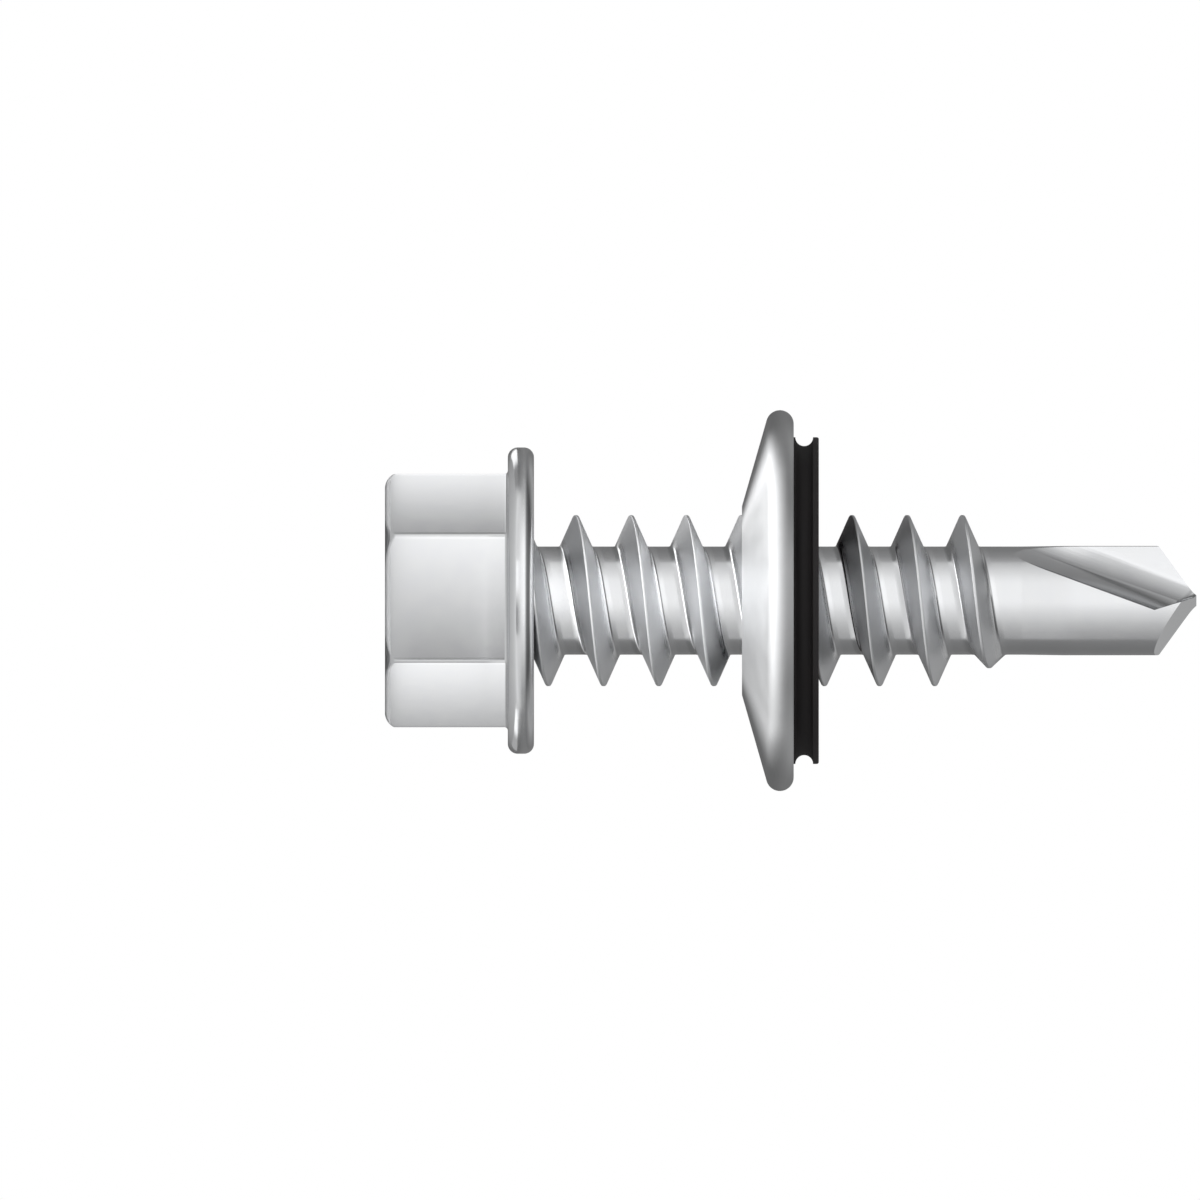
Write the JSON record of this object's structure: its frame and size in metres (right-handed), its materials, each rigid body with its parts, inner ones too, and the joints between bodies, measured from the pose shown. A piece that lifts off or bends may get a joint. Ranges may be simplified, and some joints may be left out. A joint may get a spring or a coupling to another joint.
{
  "type": "self drilling screw",
  "caption": "Hexagon washer head self drilling screw with a coarse right-hand thread, a fluted drill point and a bonded sealing washer part way along its thread.",
  "frame": {"origin": "centre of the flat top of the head, which the screw stands on", "axes": "+Z along the screw's axis from the head to the tip; -Y faces the side from which one flute's face is seen, with that flute on the -X side"},
  "size_m": [0.0138, 0.0138, 0.0294],
  "materials": {
    "zinc_steel": "bright zinc plated, cold formed and thread rolled",
    "washer_steel": "bright zinc plated, pressed sheet",
    "seal_rubber": "matt moulded rubber"
  },
  "bodies": {
    "screw": {"screw": "zinc_steel"},
    "sealing_washer": {"washer": "washer_steel", "seal": "seal_rubber"}
  },
  "joints": [
    {"name": "washer_slide", "type": "slide", "parent": "screw", "child": "sealing_washer", "axis": [0, 0, 1], "range_m": [-0.00745, 0.0057]}
  ]
}
